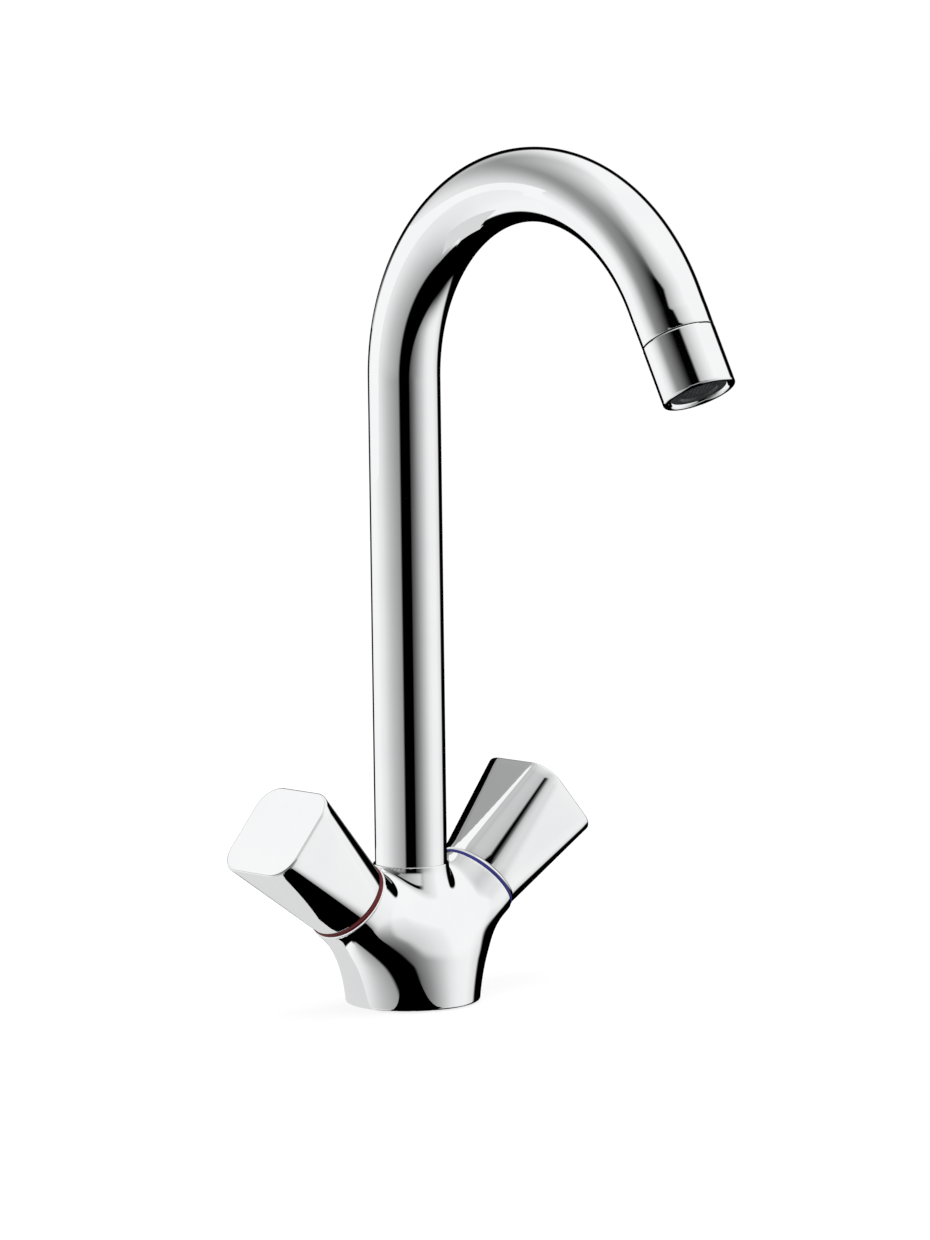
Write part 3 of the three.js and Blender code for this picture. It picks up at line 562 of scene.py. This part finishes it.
def principled(name, base, metallic, roughness, **more):
    look = bpy.data.materials.new(name)
    look.use_nodes = True
    n = Nodes(look.node_tree)
    shader = n.add("ShaderNodeBsdfPrincipled")
    n.join((*base, 1), shader.inputs["Base Color"])
    n.join(metallic, shader.inputs["Metallic"])
    n.join(roughness, shader.inputs["Roughness"])
    for key, value in more.items():
        n.join(value, shader.inputs[key.replace("_", " ")])
    n.join(shader.outputs[0], n.add("ShaderNodeOutputMaterial").inputs[0])
    return look, n, shader


def grain(n, scale, detail, stretch=(1, 1, 1)):
    """Noise on the object's own coordinates, about 1 / scale metres a blotch."""
    place = n.add("ShaderNodeMapping")
    n.join(n.add("ShaderNodeTexCoord").outputs["Object"], place.inputs["Vector"])
    n.join(stretch, place.inputs["Scale"])
    noise = n.add("ShaderNodeTexNoise")
    n.join(place.outputs[0], noise.inputs["Vector"])
    n.join(scale, noise.inputs["Scale"])
    n.join(detail, noise.inputs["Detail"])
    return noise.outputs["Fac"]


def relief(n, shader, height, depth, strength):
    bump = n.add("ShaderNodeBump")
    n.join(strength, bump.inputs["Strength"])
    n.join(depth, bump.inputs["Distance"])
    n.join(height, bump.inputs["Height"])
    n.join(bump.outputs[0], shader.inputs["Normal"])


def speckled(n, shader, noise, dark, light):
    n.join(n.ramp(noise, [(0.35, dark), (0.65, light)]), shader.inputs["Base Color"])


def make_chrome():
    """Bright chrome plate: faint polishing haze, with the least orange peel under it."""
    look, n, shader = principled("chrome plate", (0.9, 0.91, 0.92), 1.0, 0.03)
    haze = grain(n, 45, 3)
    speckled(n, shader, haze, (0.93, 0.937, 0.945), (0.955, 0.96, 0.965))
    n.join(n.between(haze, 0.3, 0.7, 0.012, 0.035, "LINEAR"), shader.inputs["Roughness"])
    relief(n, shader, grain(n, 60, 1), 0.00001, 0.25)
    return look


def make_machined(name, dark, light, roughness):
    """Turned or rolled bare metal, with fine lines and a little tarnish."""
    look, n, shader = principled(name, light, 1.0, roughness)
    speckled(n, shader, grain(n, 120, 4), dark, light)
    lines = grain(n, 900, 2, (0.15, 0.15, 1))
    finish = n.between(lines, 0.3, 0.7, roughness * 0.75, roughness * 1.3, "LINEAR")
    n.join(finish, shader.inputs["Roughness"])
    relief(n, shader, lines, 0.00002, 0.4)
    return look


def make_plastic(name, dark, light, roughness, scale=260, depth=0.00002, **more):
    """Moulded plastic with a fine skin and slight colour flow."""
    look, n, shader = principled(name, light, 0.0, roughness, **more)
    speckled(n, shader, grain(n, scale / 3, 3), dark, light)
    skin = grain(n, scale * 6, 2)
    finish = n.between(skin, 0.3, 0.7, roughness * 0.85, roughness * 1.15, "LINEAR")
    n.join(finish, shader.inputs["Roughness"])
    relief(n, shader, skin, depth, 0.5)
    return look


chrome = make_chrome()
brass = make_machined("machined brass", (0.58, 0.42, 0.17), (0.76, 0.6, 0.3), 0.22)
steel = make_machined("bright steel", (0.52, 0.53, 0.55), (0.66, 0.67, 0.69), 0.25)
ceramic = make_plastic(
    "lapped alumina", (0.86, 0.85, 0.81), (0.92, 0.91, 0.88), 0.18, 400, 0.000004
)
rubber = make_plastic(
    "seal rubber", (0.012, 0.012, 0.013), (0.03, 0.03, 0.032), 0.6, 500, 0.00004
)
acetal = make_plastic("white acetal", (0.72, 0.72, 0.7), (0.82, 0.82, 0.8), 0.38)
grey_plastic = make_plastic("grey moulded plastic", (0.07, 0.075, 0.08), (0.1, 0.105, 0.11), 0.32)
red_plastic = make_plastic(
    "dark red plastic", (0.145, 0.004, 0.009), (0.165, 0.006, 0.012), 0.32, Specular_IOR_Level=0.25
)
blue_plastic = make_plastic(
    "dark blue plastic", (0.024, 0.029, 0.23), (0.03, 0.036, 0.27), 0.32, Specular_IOR_Level=0.25
)

LOOKS = {
    "chrome": chrome,
    "brass": brass,
    "steel": steel,
    "ceramic": ceramic,
    "rubber": rubber,
    "white_plastic": acetal,
    "grey_plastic": grey_plastic,
    "hot_ring": red_plastic,
    "cold_ring": blue_plastic,
}

for part in frame["record"]["subparts"]:
    node = frame["nodes"][part["node"]]
    node.data.materials.clear()
    node.data.materials.append(LOOKS[part["material_slot"]])
    node.visible_glossy = False

# ---------- Body ----------

VALVE_AXIS = Vector(joints["cold_turn"]["axis"])
VALVE_HEIGHT = joints["cold_turn"]["pos_m"][2]
OVERRUN = 6 * mm
HALVINGS = 44
BODY_SEGMENTS, BODY_RINGS = 240, 168


def smooth_share(value, low, high):
    share = np.clip((value - low) / (high - low), 0, 1)
    return share * share * (3 - 2 * share)


def along_valve(points):
    """How far points lie along the nearer valve's axis, and how far beside it in its plane.

    Between the valves the one side turns smoothly into the other."""
    share = np.minimum(np.abs(points[:, 0]) / SADDLE, 1)
    middle = SADDLE * (3 + 6 * share**2 - share**4) / 8
    side = np.where(share < 1, middle, np.abs(points[:, 0]))
    rise = points[:, 2] - VALVE_HEIGHT
    return side * VALVE_AXIS.x + rise * VALVE_AXIS.z, side * VALVE_AXIS.z - rise * VALVE_AXIS.x


def outside_body(points):
    """Below zero inside the body: the upright trunk blended with the two necks."""
    height = points[:, 2]
    narrowing = smooth_share(height, SHOULDER_HEIGHT, COLLAR_HEIGHT)
    trunk_radius = BASE_RADIUS + (COLLAR_RADIUS - BASE_RADIUS) * narrowing
    trunk = np.hypot(points[:, 0], points[:, 1]) - trunk_radius
    trunk = np.maximum(trunk, height - COLLAR_HEIGHT - OVERRUN)
    along, beside = along_valve(points)
    share = np.maximum(along / NECK_LENGTH, 0)
    neck_radius = NECK_ROOT_RADIUS + (NECK_END_RADIUS - NECK_ROOT_RADIUS) * share
    neck = np.hypot(beside, points[:, 1]) - neck_radius
    blend = BLEND + (CROWN_BLEND - BLEND) * smooth_share(height, COLLAR_HEIGHT / 2, COLLAR_HEIGHT)
    near = np.maximum(blend - np.abs(trunk - neck), 0) / blend
    return np.minimum(trunk, neck) - near * near * blend / 4


def draw_to_surface(shape):
    """Moves a round ball's points out along their rays onto the body's surface."""
    ray = np.array([vert.co for vert in shape.verts])
    ray /= np.linalg.norm(ray, axis=1)[:, None]
    spread = ray[:, 0] * NECK_LENGTH / 2
    start = np.zeros_like(ray)
    start[:, 0] = spread * VALVE_AXIS.x
    start[:, 2] = COLLAR_HEIGHT / 2 + np.abs(spread) * VALVE_AXIS.z
    near = np.zeros(len(ray))
    far = np.full(len(ray), 3 * NECK_LENGTH)
    for _ in range(HALVINGS):
        half = (near + far) / 2
        point = start + ray * half[:, None]
        ended = outside_body(point) > 0
        ended |= point[:, 2] < -OVERRUN
        ended |= along_valve(point)[0] > NECK_LENGTH + OVERRUN
        near, far = np.where(ended, near, half), np.where(ended, half, far)
    for vert, co in zip(shape.verts, start + ray * near[:, None]):
        vert.co = co


def cut_off(shape, place, test):
    """Cuts the faces that pass the test along a place's plane, clears what is beyond it,
    and gives the new border."""
    faces = [face for face in shape.faces if test(face.calc_center_median())]
    geometry = faces + list({edge for face in faces for edge in face.edges})
    geometry += list({vert for face in faces for vert in face.verts})
    point, axis = place.translation, place.to_3x3().col[2]
    bmesh.ops.bisect_plane(
        shape, geom=geometry, dist=1e-7, plane_co=point, plane_no=axis, clear_outer=True
    )
    return [
        edge
        for edge in shape.edges
        if edge.is_boundary and all(abs((vert.co - point).dot(axis)) < 1e-6 for vert in edge.verts)
    ]


def filled(shape, edges, normal):
    bmesh.ops.triangle_fill(shape, edges=edges, normal=normal, use_beauty=True)


def make_body():
    shape = bmesh.new()
    bmesh.ops.create_uvsphere(shape, u_segments=BODY_SEGMENTS, v_segments=BODY_RINGS, radius=1)
    draw_to_surface(shape)

    # Necks: rounded rim, then the bore for the valve.
    for valve in VALVES.values():
        rim = valve @ Matrix.Translation((0, 0, NECK_LENGTH))
        below = rim @ Matrix.Translation((0, 0, -NECK_ROUND))
        edges = cut_off(shape, below, lambda co: True)
        edges = carried_on(shape, edges, rim, round_over(NECK_ROUND) + [
            (NECK_END_RADIUS - NECK_ROUND * 1.2, 0),
            (HEADWORK_BORE, 0),
            (HEADWORK_BORE, SPIGOT_END - NECK_LENGTH),
            (SPIGOT_BORE, SPIGOT_END - NECK_LENGTH),
            (SPIGOT_BORE, SEAT - NECK_LENGTH),
        ])
        filled(shape, edges, rim.to_3x3().col[2])

    # Collar: rounded lip, then the socket for the spout.
    top = Matrix.Translation((0, 0, COLLAR_HEIGHT))
    below = Matrix.Translation((0, 0, COLLAR_HEIGHT - COLLAR_ROUND))
    edges = cut_off(
        shape,
        below,
        lambda co: math.hypot(co.x, co.y) < 1.1 * COLLAR_RADIUS and co.z > 0.9 * COLLAR_HEIGHT,
    )
    edges = carried_on(shape, edges, top, round_over(COLLAR_ROUND, 4) + [
        (TUBE_RADIUS + CLEARANCE, 0),
        (TUBE_RADIUS + CLEARANCE, COUNTERBORE_FLOOR - COLLAR_HEIGHT),
        (SOCKET_RADIUS, COUNTERBORE_FLOOR - COLLAR_HEIGHT),
        (SOCKET_RADIUS, SOCKET_FLOOR - COLLAR_HEIGHT),
    ])
    filled(shape, edges, (0, 0, 1))

    # Foot: rounded edge, groove for the seal, then the ports and the stud's hole.
    down = place_along((0, 0, 0), (0, 0, -1), (1, 0, 0))
    above = Matrix.Translation((0, 0, BASE_ROUND)) @ down
    edges = cut_off(shape, above, lambda co: co.z < SHOULDER_HEIGHT)
    seal_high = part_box("base_seal")[1]
    groove_outer = seal_high.x + CLEARANCE
    groove_inner = groove_outer - GROOVE_WIDTH
    groove_depth = seal_high.z + 2 * CLEARANCE
    edges = carried_on(shape, edges, down, round_over(BASE_ROUND) + [
        (groove_outer, 0),
        (groove_outer, -groove_depth),
        (groove_inner, -groove_depth),
        (groove_inner, 0),
    ])
    holes = [
        (Vector((mounts[inlet]["pos_m"][0], 0, 0)), PORT_RADIUS, mounts[inlet]["pos_m"][2])
        for inlet in ("hot_inlet", "cold_inlet")
    ]
    holes.append((Vector((0, STUD_BEHIND, 0)), STUD_RADIUS, STUD_DEPTH))
    rims = []
    for centre, radius, depth in holes:
        ring = bmesh.ops.create_circle(
            shape, segments=48, radius=radius, matrix=Matrix.Translation(centre)
        )["verts"]
        rims.append((centre, radius, depth, list({e for v in ring for e in v.link_edges})))
    filled(shape, edges + [edge for rim in rims for edge in rim[3]], (0, 0, -1))
    for centre, radius, depth, rim in rims:
        hole = Matrix.Translation(centre) @ down
        end = carried_on(shape, rim, hole, [(radius, -depth)])
        filled(shape, end, (0, 0, -1))
    finished("faucet_body_casting", shape, chrome, "faucet_body", "chrome", "body")


make_body()

# ---------- Spout ----------

TUBE_SEGMENTS, ARCH_STEPS, DRAWN_STEPS = 160, 110, 8


def moved_on(shape, edges, vector, steps=1):
    """Extrudes a loop along a vector in equal steps, and gives the last loop."""
    for _ in range(steps):
        made = bmesh.ops.extrude_edge_only(shape, edges=edges)["geom"]
        verts = [item for item in made if isinstance(item, bmesh.types.BMVert)]
        bmesh.ops.translate(shape, verts=verts, vec=vector / steps)
        edges = [item for item in made if isinstance(item, bmesh.types.BMEdge)]
        edges = [edge for edge in edges if all(vert in verts for vert in edge.verts)]
    return edges


def swung_on(shape, edges, angle):
    """Spins a loop round the middle of the arch, and gives the last loop."""
    last = bmesh.ops.spin(
        shape,
        geom=edges,
        cent=(0, -ARCH_RADIUS, ARCH_HEIGHT),
        axis=(1, 0, 0),
        angle=angle,
        steps=ARCH_STEPS,
    )["geom_last"]
    return [item for item in last if isinstance(item, bmesh.types.BMEdge)]


def make_spout_tube():
    """One wall: up the outside, round the arch to the outlet, over the edge and back inside."""
    shape = bmesh.new()
    foot = Matrix.Translation((0, 0, TUBE_START))
    ring = bmesh.ops.create_circle(
        shape, segments=TUBE_SEGMENTS, radius=TUBE_RADIUS, matrix=foot
    )["verts"]
    edges = list({edge for vert in ring for edge in vert.link_edges})
    stem = Vector((0, 0, ARCH_HEIGHT - TUBE_START))
    edges = moved_on(shape, edges, stem, 6)
    edges = swung_on(shape, edges, ARCH_ANGLE)
    edges = moved_on(shape, edges, OUTLET_AXIS * (OUTLET_STRAIGHT - TUBE_END_DRAWN))
    drawn = [(step + 1) / DRAWN_STEPS for step in range(DRAWN_STEPS)]
    edges = carried_on(shape, edges, OUTLET, [
        (TUBE_RADIUS - TUBE_END_TAPER * t**2, TUBE_END_DRAWN * (t - 1) - TUBE_END_ROUND * t)
        for t in drawn
    ])
    edges = carried_on(shape, edges, OUTLET, round_over(TUBE_END_ROUND) + [
        (TUBE_RADIUS - TUBE_WALL, 0),
    ])
    edges = moved_on(shape, edges, OUTLET_AXIS * -OUTLET_STRAIGHT)
    edges = swung_on(shape, edges, -ARCH_ANGLE)
    edges = moved_on(shape, edges, -stem)
    carried_on(shape, edges, foot, [(TUBE_RADIUS, 0)])
    bmesh.ops.remove_doubles(shape, verts=shape.verts, dist=3e-5)
    finished("spout_tube_bent", shape, chrome, "spout", "chrome", "spout_tube")


def turned_piece(name, corners, place, look, body, slot, node):
    """A round piece from its outline of (radius, height, rounding), at its place."""
    shape = spun(softened(corners))
    bmesh.ops.transform(shape, matrix=place, verts=shape.verts)
    finished(name, shape, look, body, slot, node)


def make_sleeve():
    bore = TUBE_RADIUS - SLEEVE_WALL
    rim_bore = TUBE_RADIUS - RIM_WIDTH
    ledge_bore = CORE_RADIUS + CLEARANCE
    turned_piece("aerator_sleeve_turned", [
        (bore, SEAM_SHOWN, 0),
        (TUBE_RADIUS - SLEEVE_CHAMFER, SEAM_SHOWN, 0),
        (TUBE_RADIUS, SEAM_SHOWN + SLEEVE_CHAMFER, SLEEVE_SHOULDER_ROUND),
        (TUBE_RADIUS, SLEEVE_END, RIM_ROUND),
        (rim_bore, SLEEVE_END, RIM_ROUND),
        (rim_bore, SLEEVE_LEDGE_END, 0),
        (ledge_bore, SLEEVE_LEDGE_END, 0),
        (ledge_bore, SLEEVE_LEDGE_START, 0),
        (bore, SLEEVE_LEDGE_START, 0),
    ], OUTLET, chrome, "spout", "chrome", "aerator_sleeve")


def make_core():
    end = SLEEVE_END - CORE_RECESS
    flange = TUBE_RADIUS - SLEEVE_WALL - CLEARANCE
    turned_piece("aerator_core_moulded", [
        (CORE_MOUTH, end, CORE_LIP),
        (CORE_RADIUS, end, CORE_LIP),
        (CORE_RADIUS, CORE_HEAD_END, 0),
        (flange, CORE_HEAD_END, 0),
        (flange, CORE_HEAD_START, 0),
        (CORE_LEDGE_BORE, CORE_HEAD_START, 0),
        (CORE_LEDGE_BORE, CORE_LEDGE_END, 0),
        (CORE_BORE, CORE_LEDGE_END, 0),
        (CORE_BORE, CORE_MOUTH_START, 0),
        (CORE_MOUTH, CORE_MOUTH_START, 0),
    ], OUTLET, grey_plastic, "spout", "grey_plastic", "aerator_core")


def make_grid():
    """The fine honeycomb in the outlet: a round plate, with six sided holes in rows."""
    radius = CORE_MOUTH - CLEARANCE
    shape = bmesh.new()
    outer = bmesh.ops.create_circle(
        shape, segments=96, radius=radius, matrix=Matrix.Translation((0, 0, GRID_START))
    )["verts"]
    edges = list({edge for vert in outer for edge in vert.link_edges})
    holes = []
    rows = int(radius / GRID_PITCH) + 2
    for row in range(-rows, rows + 1):
        for column in range(-rows, rows + 1):
            x = (column + row % 2 / 2) * GRID_PITCH
            y = row * GRID_PITCH * math.sqrt(3) / 2
            if math.hypot(x, y) > radius - GRID_RIM - GRID_HOLE:
                continue
            cell = bmesh.ops.create_circle(
                shape, segments=6, radius=GRID_HOLE, matrix=Matrix.Translation((x, y, GRID_START))
            )["verts"]
            holes += list({edge for vert in cell for edge in vert.link_edges})
    filled(shape, edges + holes, (0, 0, 1))
    faces = list(shape.faces)
    made = bmesh.ops.extrude_face_region(shape, geom=faces, use_keep_orig=True)["geom"]
    verts = [item for item in made if isinstance(item, bmesh.types.BMVert)]
    bmesh.ops.translate(shape, verts=verts, vec=(0, 0, GRID_END - GRID_START))
    bmesh.ops.transform(shape, matrix=OUTLET, verts=shape.verts)
    finished(
        "aerator_grid_honeycomb", shape, grey_plastic,
        "spout", "grey_plastic", "aerator_grid", sharp=20,
    )


make_spout_tube()
make_sleeve()
make_core()
make_grid()

# ---------- Handles and rings ----------

HANDLE_SEGMENTS = 160
FACE_STEPS, EDGE_STEPS, WALL_STEPS, ROOT_STEPS = 9, 8, 14, 4


def square_reach(angle, half, corner):
    """Distance from the middle of a rounded square to its outline at an angle."""
    across, up = abs(math.cos(angle)), abs(math.sin(angle))
    long, short = max(across, up), min(across, up)
    middle = half - corner
    if half * short <= middle * long:
        return half / long
    along = middle * (long + short)
    return along + math.sqrt(max(along**2 - 2 * middle**2 + corner**2, 0))


def make_handle(side):
    """Hollow casting, round at the ring and a rounded square at its slightly domed outer face."""
    dome = HANDLE_END - HANDLE_DOME
    face_inset = 1.15 * HANDLE_EDGE
    stations = []
    for step in range(FACE_STEPS):
        share = step / FACE_STEPS
        stations.append((
            share * (HANDLE_HALF - face_inset),
            share * (HANDLE_CORNER - face_inset),
            HANDLE_END - HANDLE_DOME * share**2,
        ))
    for step in range(EDGE_STEPS + 1):
        turn = math.pi / 2 * step / EDGE_STEPS
        inset = HANDLE_EDGE * (1 - math.sin(turn))
        height = dome - HANDLE_EDGE * (1 - math.cos(turn))
        stations.append((HANDLE_HALF - inset, HANDLE_CORNER - inset, height))
    first = stations[-1][2]
    for step in range(1, WALL_STEPS + 1):
        share = step / WALL_STEPS
        stations.append((
            HANDLE_HALF + (HANDLE_ROOT - HANDLE_HALF) * share,
            HANDLE_CORNER + (HANDLE_ROOT - HANDLE_CORNER) * share,
            first + (HANDLE_START + HANDLE_ROOT_ROUND - first) * share,
        ))
    for step in range(1, ROOT_STEPS + 1):
        turn = math.pi / 2 * step / ROOT_STEPS
        radius = HANDLE_ROOT - HANDLE_ROOT_ROUND * (1 - math.cos(turn))
        height = HANDLE_START + HANDLE_ROOT_ROUND * (1 - math.sin(turn))
        stations.append((radius, radius, height))
    skirt = HANDLE_ROOT - SKIRT_WALL
    stations += [
        (skirt, skirt, HANDLE_START),
        (skirt, skirt, SKIRT_END),
        (CAVITY_HALF, CAVITY_CORNER, SKIRT_END),
        (CAVITY_HALF, CAVITY_CORNER, CAVITY_END),
        (0, 0, CAVITY_END),
    ]
    outline = [(half, height) for half, _, height in stations]
    shape = spun(outline, False, HANDLE_SEGMENTS)
    corners = {(round(half, 8), round(height, 8)): corner for half, corner, height in stations}
    # Each turned ring becomes its own rounded square.
    for vert in shape.verts:
        radius = math.hypot(vert.co.x, vert.co.y)
        if radius < 1e-6:
            continue
        key = min(corners, key=lambda item: abs(item[0] - radius) + abs(item[1] - vert.co.z))
        stretch = square_reach(math.atan2(vert.co.y, vert.co.x), key[0], corners[key]) / key[0]
        vert.co.x *= stretch
        vert.co.y *= stretch
    bmesh.ops.transform(shape, matrix=VALVES[side], verts=shape.verts)
    finished(
        f"{side}_handle_casting", shape, chrome,
        f"{side}_handle_set", "chrome", f"{side}_handle",
    )


def make_index_ring(side, look):
    """The coloured band between neck and handle, with a step that stands back under the handle."""
    turned_piece(f"{side}_index_ring_moulded", [
        (RING_INNER, RING_START, 0),
        (RING_OUTER, RING_START, RING_ROUND),
        (RING_OUTER, RING_SHOWN, RING_ROUND),
        (RING_OUTER - RING_STEP, RING_SHOWN, 0),
        (RING_OUTER - RING_STEP, RING_END, 0),
        (RING_INNER, RING_END, 0),
    ], VALVES[side], look, "faucet_body", f"{side}_ring", f"{side}_index_ring")


for side, look in (("hot", red_plastic), ("cold", blue_plastic)):
    make_handle(side)
    make_index_ring(side, look)

scene = bpy.context.scene
scene.view_settings.view_transform = "Standard"
